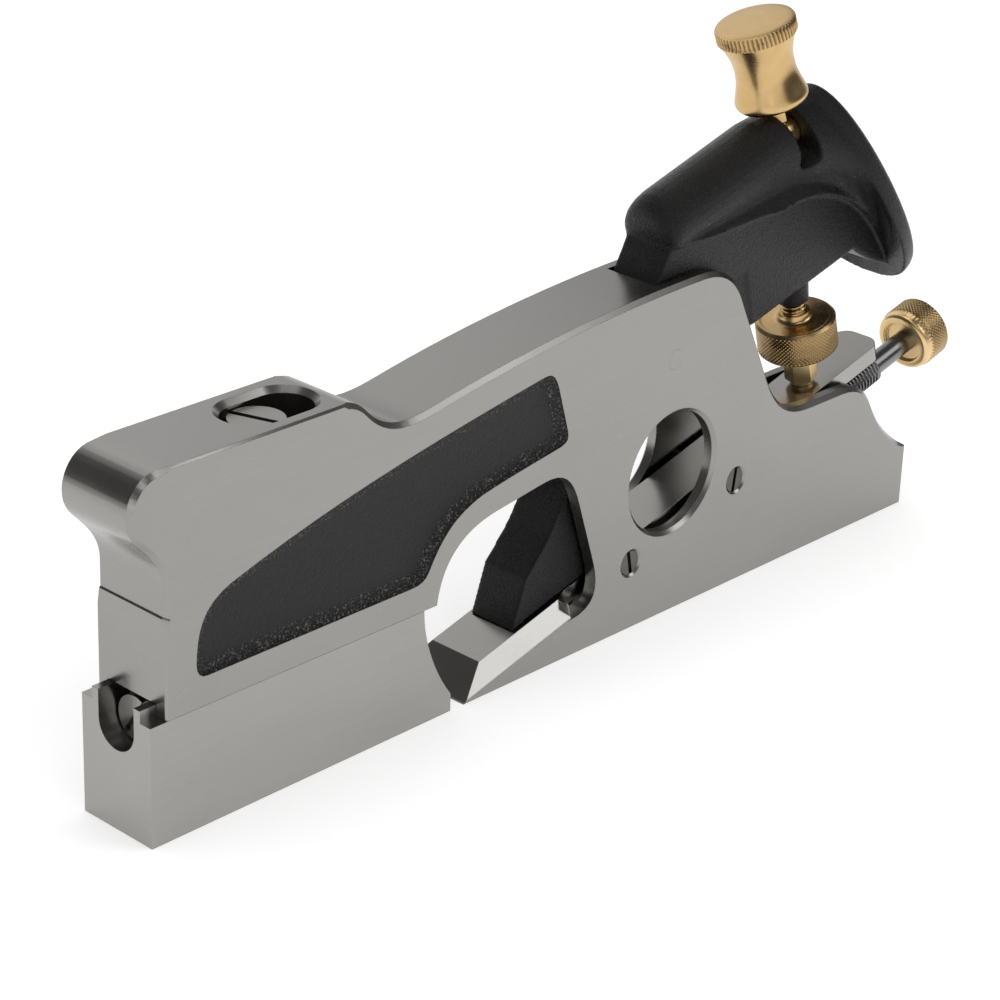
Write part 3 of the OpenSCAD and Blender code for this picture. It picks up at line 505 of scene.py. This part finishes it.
def finish_mesh(name, bm, mat, body, replaced=(), angle=35):
    """Turns a mesh into a piece that rides a body, with edges sharper than the angle kept."""
    bmesh.ops.recalc_face_normals(bm, faces=bm.faces)
    mesh = bpy.data.meshes.new(name)
    bm.to_mesh(mesh)
    bm.free()
    obj = bpy.data.objects.new(name, mesh)
    bpy.context.scene.collection.objects.link(obj)
    for poly in mesh.polygons:
        poly.use_smooth = True
    mesh.set_sharp_from_angle(angle=math.radians(angle))
    mesh.materials.append(mat)
    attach(obj, body)
    if replaced:
        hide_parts(*replaced)
    return obj


def skin(bm, a, b, slot=0):
    """Faces between two closed rings of points. A ring of one point is a tip."""
    n = max(len(a), len(b))
    for i in range(n):
        j = (i + 1) % n
        if len(a) == 1:
            corners = (a[0], b[i], b[j])
        elif len(b) == 1:
            corners = (a[i], a[j], b[0])
        else:
            corners = (a[i], a[j], b[j], b[i])
        bm.faces.new(corners).material_index = slot


# A groove this deep gets as much painted shade as any
FULL_GROOVE = 0.26


def rings(bm, profile, around, place, shape=None, closed=False):
    """Turns a profile of (radius, height) round the local Z axis, with that many points around."""
    groove = bm.verts.layers.float.get("groove") or bm.verts.layers.float.new("groove")
    rows = []
    for radius, height in profile:
        if radius < TINY:
            rows.append([bm.verts.new((place @ Vector((0, 0, height))) * MM)])
            continue
        row = []
        for i in range(around):
            angle = 2 * math.pi * i / around
            dent = shape(angle, height) if shape else 0
            reach = radius + dent
            spot = Vector((reach * math.cos(angle), reach * math.sin(angle), height))
            point = bm.verts.new((place @ spot) * MM)
            # How deep the point lies in a groove, which brass darkens there as painted shade
            point[groove] = min(1.0, -dent / FULL_GROOVE)
            row.append(point)
        rows.append(row)
    for a, b in zip(rows, rows[1:]):
        skin(bm, a, b)
    if closed:
        skin(bm, rows[-1], rows[0])


def ridge(x):
    """1 at whole numbers and 0 half way between them."""
    return abs(2 * (x % 1) - 1)


def diamond(count, pitch, low, high, depth):
    """Diamond knurl between two heights: two families of crossing grooves."""
    def shape(angle, height):
        if height < low - TINY or height > high + TINY:
            return 0
        along = angle * count / (2 * math.pi)
        up = (height - low) / pitch
        return -depth * (1 - min(ridge(along + up), ridge(along - up)))
    return shape


def steps(low, high, size):
    """Even steps from low to high, each about that size."""
    count = max(1, round((high - low) / size))
    return [low + (high - low) * i / count for i in range(count + 1)]


def cubic(a, b, c, d, n=8):
    """n points on a cubic curve from a to d, without a itself."""
    out = []
    for i in range(1, n + 1):
        t = i / n
        s = 1 - t
        out.append(tuple(s**3 * p + 3 * s * s * t * q + 3 * s * t * t * u + t**3 * v
                         for p, q, u, v in zip(a, b, c, d)))
    return out


def rounded(points, r, n=4):
    """Rounds the corners of an open outline by about r."""
    out = [points[0]]
    for a, b, c in zip(points, points[1:], points[2:]):
        a, b, c = Vector(a), Vector(b), Vector(c)
        k = min(r, (a - b).length * 0.45, (c - b).length * 0.45)
        p = b + (a - b).normalized() * k
        q = b + (c - b).normalized() * k
        for i in range(n + 1):
            t = i / n
            out.append(tuple((1 - t) ** 2 * p + 2 * t * (1 - t) * b + t * t * q))
    return out + [points[-1]]


# Points for each groove of a knurl and of a thread, and round a plain turned piece
KNURL_POINTS = 4
THREAD_POINTS = 8
ROUND_POINTS = 32
# Distances between grooves
KNURL_PITCH = 0.85
COARSE_PITCH = 1.0
STUD_PITCH = 0.7
# Share of its pitch that half a thread's groove takes
GROOVE_HALF = 0.36


def clamp_wheel():
    count = 62
    depth = 0.26
    top = WHEEL_W + WHEEL_H
    low = WHEEL_W + 0.7
    high = top - 0.7
    foot = rounded([(CLAMP_R, WHEEL_W), (WHEEL_R - 0.65, WHEEL_W),
                    (WHEEL_R - 0.05, WHEEL_W + 0.65)], 0.15)
    band = [(WHEEL_R, h) for h in steps(low, high, KNURL_PITCH / KNURL_POINTS)]
    rim = rounded([(WHEEL_R - 0.05, top - 0.6), (WHEEL_R - 0.75, top), (WHEEL_R - 1.5, top - 0.12),
                   (4.6, top - 0.05)], 0.2)
    cone = cubic((4.6, top - 0.05), (3.7, top), (3.25, top + 0.35), (CONE_R, top + CONE_H))
    bm = bmesh.new()
    rings(bm, foot + band + rim + cone + [(CLAMP_R, top + CONE_H)], count * KNURL_POINTS, CLAMP,
          diamond(count, KNURL_PITCH, low, high, depth), closed=True)
    finish_mesh("clamp_wheel_turned", bm, KNURL, "clamp", ("clamp_wheel",))


def adjuster_knob():
    count = 50
    depth = 0.25
    low = 2.3
    high = KNOB_LEN - 0.55
    dished = KNOB_LEN - 0.5
    front = rounded([(SHAFT_R, 0.9), (4.4, 0.9), (4.6, 0.0), (5.9, 0.0), (6.45, 0.6), (6.6, 1.9)],
                    0.35)
    band = [(KNOB_R, h) for h in steps(low, high, KNURL_PITCH / KNURL_POINTS)]
    back = rounded([(KNOB_R - 0.2, KNOB_LEN - 0.4), (KNOB_R - 0.9, KNOB_LEN), (3.4, KNOB_LEN - 0.1),
                    (3.2, dished), (0.4, dished)], 0.3)
    bm = bmesh.new()
    rings(bm, front + band + back + [(0, dished)], count * KNURL_POINTS, on_shaft(KNOB_U),
          diamond(count, KNURL_PITCH, low, high, depth))
    finish_mesh("adjuster_knob_turned", bm, KNURL_X_PAINTED_LIGHTER, "adjuster", ("adjuster_knob",))


def grip_knob():
    count = 56
    depth = 0.25
    base = GRIP_BASE_R
    waist = GRIP_WAIST_R
    rim = GRIP_RIM_R
    top = GRIP_H

    def coin_edge(angle, height):
        if height < top - 2.75 or height > top - 0.45:
            return 0
        return -depth * (1 - ridge(angle * count / (2 * math.pi)))

    foot = rounded([(STUD_R + 0.03, 0), (base - 0.7, 0), (base, 0.8), (base, 1.6)], 0.4)
    side = cubic((base, 1.6), (base - 0.9, 4.6), (waist, 5.6), (waist, 8.2), 10)
    side += cubic((waist, 8.2), (waist, 10.6), (rim - 1.4, 11.8), (rim - 0.5, top - 3.1), 10)
    edge = [(rim - 0.15, top - 2.95), (rim, top - 2.7), (rim, top - 1.6), (rim, top - 0.5),
            (rim - 0.25, top - 0.12), (rim - 0.6, top)]
    crown = cubic((rim - 0.6, top), (rim * 0.6, top + 0.25), (rim * 0.3, top + 0.3), (0, top + 0.3))
    bm = bmesh.new()
    rings(bm, foot + side + edge + crown, count * KNURL_POINTS, GRIP @ shift(0, 0, GRIP_SEAT),
          coin_edge)
    finish_mesh("grip_knob_turned", bm, BRASS, "grip_knob", ("grip_knob",))


def rod(bm, profile, place):
    """A plain turned length of a shaft or screw."""
    rings(bm, profile, ROUND_POINTS, place)


def thread(bm, r, depth, pitch, low, high, place):
    """A screw thread from low to high with blunt crests, which fades out at both ends."""
    def shape(angle, height):
        fade = min(1, (height - low) / pitch, (high - height) / pitch)
        phase = (height / pitch - angle / (2 * math.pi)) % 1
        groove = max(0.0, 1 - abs(phase - 0.5) / GROOVE_HALF)
        return -depth * groove * max(0, fade)
    rings(bm, [(r, h) for h in steps(low, high, pitch / THREAD_POINTS)], ROUND_POINTS, place, shape)


def adjuster_shaft():
    front = SHAFT_FRONT_U
    back = KNOB_U + KNOB_LEN - 2.5
    place = on_shaft(0)
    bm = bmesh.new()
    rod(bm, [(0, front), (SHAFT_R - 0.25, front), (SHAFT_R, front + 0.3), (SHAFT_R, THREAD_FRONT_U)],
        place)
    thread(bm, THREAD_R, 0.55, COARSE_PITCH, THREAD_FRONT_U, THREAD_BACK_U, place)
    rod(bm, [(SHAFT_R, THREAD_FRONT_U), (3.1, THREAD_FRONT_U)], place)
    rod(bm, [(3.1, THREAD_BACK_U), (SHAFT_R, THREAD_BACK_U + 0.5), (SHAFT_R, back), (0, back)], place)
    finish_mesh("adjuster_shaft_threaded", bm, SHAFT, "adjuster", ("adjuster_shaft",))


def clamp_screw():
    low = CLAMP_LOW_W
    high = low + CLAMP_LEN
    plain = WHEEL_W + WHEEL_H + CONE_H
    bm = bmesh.new()
    rod(bm, [(0, low), (CLAMP_R - 0.25, low), (CLAMP_R, low + 0.3), (CLAMP_R, plain)], CLAMP)
    thread(bm, CLAMP_R, 0.4, COARSE_PITCH, plain, high - 0.4, CLAMP)
    rod(bm, [(CLAMP_R, high - 0.4), (CLAMP_R - 0.35, high), (0, high)], CLAMP)
    finish_mesh("clamp_screw_threaded", bm, BRASS, "clamp", ("clamp_screw",))


def grip_stud():
    low = STUD_LOW
    high = low + STUD_LEN
    corner = HEX_ACROSS / math.sqrt(3)
    collar = [(1.6, HEX_LOW), (corner - 0.1, HEX_LOW), (corner, HEX_LOW + 0.15),
              (corner, HEX_HIGH - 0.15), (corner - 0.1, HEX_HIGH), (1.6, HEX_HIGH)]
    bm = bmesh.new()
    rod(bm, [(0, low), (STUD_R, low)], GRIP)
    thread(bm, STUD_R, 0.3, STUD_PITCH, low, high, GRIP)
    rod(bm, [(STUD_R, high), (0, high)], GRIP)
    rings(bm, collar, 6, GRIP @ turn(30, "Z"), closed=True)
    finish_mesh("grip_stud_threaded", bm, BRASS, "grip_arm", ("grip_stud",))


# Palm rest, from the CAD source, and the flare of the round back that leads to it
PALM_HALF_LEN = 26.2
PALM_HALF_WIDTH = 14.5
PALM_THICK = 3.2
PALM_LEAN = 18
PALM_BEND = 2.4
# How much wider the palm rest's foot is than its top
PALM_EGG = 0.21
FLARE_U = GRIP_U - 8.2
PALM_UP = Vector((-math.sin(math.radians(PALM_LEAN)), math.cos(math.radians(PALM_LEAN))))
PALM_OUT = Vector((math.cos(math.radians(PALM_LEAN)), math.sin(math.radians(PALM_LEAN))))
PALM_BACK = Vector((GRIP_U + 16.7, TUBE_W - 19.6)) + PALM_BEND * PALM_OUT
PALM_FRONT = PALM_BACK - PALM_THICK * PALM_OUT
# The flare's axis and ridge where it begins, and the height between them
FLARE_AXIS_W = TUBE_W - (GRIP_U - FLARE_U) * math.tan(math.radians(TUBE_SLOPE))
FLARE_RIDGE_W = RIDGE_W - (FLARE_U - RIDGE_START_U) * RIDGE_FALL
FLARE_DROP = FLARE_AXIS_W - FLARE_RIDGE_W
# Degrees from the palm rest's top to the points of its half outline, the last at its foot
PALM_ANGLES = [i * 112 / 8 for i in range(9)] + [130, 148, 163, 173]
# Points on half an outline, and steps along the flare, of which the last quarter is made here
HALF_POINTS = 72
FLARE_STEPS = 72
FLARE_FIRST = 54
FLARE_STRIDE = 2
# The flare keeps the round back's outline at first and takes the palm rest's at its end
FLARE_EASE = 2.2
# How the rings of the palm rest's rim and back are scaled, and how far out each one is
PALM_RINGS = ((1.008, 0.7 - PALM_THICK), (1.012, 1.6 - PALM_THICK), (1.008, -0.6), (1, 0.05),
              (0.985, 0.45), (0.96, 0.8), (0.93, 1.05), (0.85, 1.45), (0.6, 2.2), (0.3, 2.65))


def smooth_between(points, n):
    """n points on a smooth curve through the given ones."""
    out = []
    for i in range(n):
        x = i * (len(points) - 1) / (n - 1)
        k = min(int(x), len(points) - 2)
        t = x - k
        a, b, c, d = (Vector(points[min(max(j, 0), len(points) - 1)]) for j in range(k - 1, k + 3))
        out.append(0.5 * (2 * b + t * (c - a) + t * t * (2 * a - 5 * b + 4 * c - d)
                          + t**3 * (3 * b - a - 3 * c + d)))
    return out


def back_half():
    """Half outline of the round back where the flare begins: (side, share of the height)."""
    drop = FLARE_DROP
    lobe_end = 96 + drop * 1.7
    lobe = [(TUBE_R * math.sin(a), TUBE_R * math.cos(a) + drop)
            for a in (math.radians(i * lobe_end / 8) for i in range(9))]
    neck = [(RIDGE_HALF - drop * 0.2, drop * 0.32)]
    ridge_side = [(RIDGE_HALF - 0.3, 0.55), (RIDGE_HALF, 0.25), (RIDGE_HALF - 0.2, 0)]
    return [(y, h / (TUBE_R + drop)) for y, h in lobe + neck + ridge_side]


def palm_half(scale, angles):
    """Half outline of the palm rest, an egg wider at its foot: (side, share of the height)."""
    foot = math.cos(math.radians(PALM_ANGLES[-1]))
    return [(PALM_HALF_WIDTH * scale * math.sin(a) * (1 - PALM_EGG * math.cos(a)),
             (math.cos(a) - foot) / (1 - foot)) for a in map(math.radians, angles)]


def palm_ring(bm, half, foot, top, bend):
    """A closed ring of points between its foot and top, with its sides swept forward."""
    pts = []
    for y, share in half:
        q = foot + share * (top - foot) - bend * (y / PALM_HALF_WIDTH) ** 2 * PALM_OUT
        pts.append((q.x, y, q.y))
    pts += [(x, -y, z) for x, y, z in reversed(pts[1:])]
    return [bm.verts.new((BED @ Vector(p)) * MM) for p in pts]


def palm_rest(bm):
    """The palm rest and the last part of the flare before it, with a smooth round rim."""
    angles = [a.x for a in smooth_between([(a, 0) for a in PALM_ANGLES], HALF_POINTS)]
    back = smooth_between(back_half(), HALF_POINTS)
    flare_top = PALM_FRONT + PALM_HALF_LEN * PALM_UP
    flare_foot = PALM_FRONT - PALM_HALF_LEN * PALM_UP
    first_top = Vector((FLARE_U, FLARE_AXIS_W + TUBE_R))
    feet = cubic((FLARE_U, FLARE_RIDGE_W), (FLARE_U + 12, TUBE_W - 11.4),
                 (FLARE_U + 27, TUBE_W - 18.9), flare_foot, FLARE_STEPS)
    rows = []
    for k in range(FLARE_FIRST, FLARE_STEPS + 1, FLARE_STRIDE):
        t = k / FLARE_STEPS
        mixed = t ** FLARE_EASE
        half = [b * (1 - mixed) + Vector(e) * mixed for b, e in zip(back, palm_half(1, angles))]
        rows.append(palm_ring(bm, half, Vector(feet[k - 1]), first_top.lerp(flare_top, t),
                              PALM_BEND * mixed))
    for scale, out in PALM_RINGS:
        middle = PALM_BACK + out * PALM_OUT
        reach = scale * PALM_HALF_LEN * PALM_UP
        rows.append(palm_ring(bm, palm_half(scale, angles), middle - reach, middle + reach,
                              PALM_BEND))
    for a, b in zip(rows, rows[1:]):
        skin(bm, a, b)
    for row in (rows[0], rows[-1]):
        middle = bm.verts.new(sum((v.co for v in row), Vector()) / len(row))
        skin(bm, row, [middle])


def welded(mesh):
    """A working copy of a mesh in which equal points are one."""
    bm = bmesh.new()
    bm.from_mesh(mesh)
    bmesh.ops.remove_doubles(bm, verts=bm.verts, dist=WELD)
    return bm


# The grid that rounds a casting, and how many times the result is smoothed
CAST_GRID = 0.36
CAST_ROUNDS = 4


def cast(name, node, mat, body):
    """The node's own shape and the palm rest, with the edges and corners of an enamelled casting."""
    more = bmesh.new()
    palm_rest(more)
    bmesh.ops.recalc_face_normals(more, faces=more.faces)
    mesh = bpy.data.meshes.new(name)
    more.to_mesh(mesh)
    more.free()
    bm = welded(nodes[node].data)
    bm.from_mesh(mesh)
    bm.to_mesh(mesh)
    bm.free()
    obj = bpy.data.objects.new(name, mesh)
    bpy.context.scene.collection.objects.link(obj)
    remesh = obj.modifiers.new("grid", "REMESH")
    remesh.mode = "VOXEL"
    remesh.voxel_size = CAST_GRID * MM
    smooth = obj.modifiers.new("soften", "SMOOTH")
    smooth.factor = 0.5
    smooth.iterations = CAST_ROUNDS
    deps = bpy.context.evaluated_depsgraph_get()
    mesh = bpy.data.meshes.new_from_object(obj.evaluated_get(deps))
    obj.modifiers.clear()
    obj.data = mesh
    for poly in mesh.polygons:
        poly.use_smooth = True
    paint(obj, mat)
    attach(obj, body)
    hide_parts(node)


# Enamel in the side recesses: spacing of the points round it, and the soft wall that slopes
# down to its floor, as (distance in from the edge, depth)
RECESS_POINTS = 0.6
RECESS_WALL = ((0.03, 0.15), (0.25, 0.42), (0.7, 0.78), (1.2, 1.04), (1.8, 1.2), (2.4, 1.25))
WALL_STEPS = 3
# A face is part of the CAD recess's floor when it is this near its depth and this square to Y
FLOOR_NEAR = 0.02
FLOOR_SQUARE = 0.99


def longest_border(faces):
    """The longest border of a set of faces, as a list of points in order."""
    # A dict, because it keeps the sides in order
    sides = {}
    for face in faces:
        corners = list(face.vertices)
        for side in zip(corners, corners[1:] + corners[:1]):
            sides[side] = True
    border = {a: b for a, b in sides if (b, a) not in sides}
    best = []
    while border:
        start, b = border.popitem()
        loop = [start]
        while b != start and b in border:
            loop.append(b)
            b = border.pop(b)
        if len(loop) > len(best):
            best = loop
    return best


def even_points(outline, gap):
    """Points about that far apart, in metres, round a closed outline."""
    total = sum((outline[i] - outline[i - 1]).length for i in range(len(outline)))
    n = round(total / gap)
    ring = outline + [outline[0]]
    out = []
    k = 0
    run = 0.0
    for i in range(n):
        want = total * i / n
        while run + (ring[k + 1] - ring[k]).length < want:
            run += (ring[k + 1] - ring[k]).length
            k += 1
        leg = ring[k + 1] - ring[k]
        out.append(ring[k] + leg * ((want - run) / leg.length))
    return out


def drawn_in(line, distance, sign, soften):
    """A closed line moved in by that distance, and evened out where it is to be softened."""
    n = len(line)
    out = []
    for i in range(n):
        along = (line[(i + 1) % n] - line[i - 1]).normalized()
        out.append(line[i] + Vector((-along.y, along.x)) * sign * distance * MM)
    if soften:
        out = [(out[i - 1] + out[i] * 4 + out[(i + 1) % n]) / 6 for i in range(n)]
    return out


def recess_outline(side):
    """The border of the CAD recess's floor on one side, as even points in X and Z."""
    bm = welded(nodes["body"].data)
    mesh = bpy.data.meshes.new("welded")
    bm.to_mesh(mesh)
    bm.free()
    depth_y = side * (HALF_W - RECESS_DEPTH) * MM
    floor = [f for f in mesh.polygons
             if abs(f.center.y - depth_y) < FLOOR_NEAR * MM and abs(f.normal.y) > FLOOR_SQUARE]
    outline = [Vector((mesh.vertices[i].co.x, mesh.vertices[i].co.z)) for i in longest_border(floor)]
    bpy.data.meshes.remove(mesh)
    return even_points(outline, RECESS_POINTS * MM)


def recess_enamel(side):
    """Crinkle enamel on the floor and gritty enamel on the soft sloping wall of one recess."""
    line = recess_outline(side)
    n = len(line)
    twice_area = sum(line[i - 1].x * line[i].y - line[i].x * line[i - 1].y for i in range(n))
    sign = 1 if twice_area > 0 else -1
    bm = bmesh.new()
    rows = []
    last = 0.0
    for inset, depth in RECESS_WALL:
        for _ in range(WALL_STEPS):
            line = drawn_in(line, (inset - last) / WALL_STEPS, sign, inset > RECESS_WALL[0][0])
        last = inset
        rows.append([bm.verts.new((p.x, side * (HALF_W - depth) * MM, p.y)) for p in line])
    for a, b in zip(rows, rows[1:]):
        skin(bm, a, b, slot=1)
    edges = [bm.edges.get((rows[-1][i], rows[-1][(i + 1) % n])) for i in range(n)]
    bmesh.ops.triangle_fill(bm, use_beauty=True, edges=edges)
    name = "recess_enamel_" + ("near" if side < 0 else "far")
    finish_mesh(name, bm, CRINKLE, "plane_body", angle=60).data.materials.append(GRIT)


# What each piece is made of
FINISHES = (
    (IRON, ("body", "fulcrum_pin")),
    (TOE_IRON_PAINTED_LIGHTER, ("toe",)),
    (STEEL, ("blade",)),
    (SCREW, ("toe_lock_screw", "toe_stop_screw")),
    (SHAFT, ("adjuster_shaft", "drive_pin")),
    (DARK, ("carriage", "shaft_clip", "set_screw_near_front", "set_screw_near_rear",
            "set_screw_far_front", "set_screw_far_rear")),
    (BRASS, ("clamp_screw", "grip_knob", "grip_stud", "grip_nut", "pivot_barrel")),
    (SATIN_PAINTED_LIGHTER, ("clamp_foot",)),
    (KNURL, ("clamp_wheel",)),
    (KNURL_X_PAINTED_LIGHTER, ("adjuster_knob",)),
    (CAP, ("lever_cap",)),
)

camera()
studio()
for mat, names in FINISHES:
    for name in names:
        paint(nodes[name], mat)
for name in ("body", "toe", "blade"):
    smooth_curves(nodes[name])
clamp_wheel()
adjuster_knob()
grip_knob()
adjuster_shaft()
clamp_screw()
grip_stud()
cast("lever_cap_cast", "lever_cap", CAP, "lever_cap")
for side in (-1, 1):
    recess_enamel(side)

scene = bpy.context.scene
scene.view_settings.view_transform = "Standard"
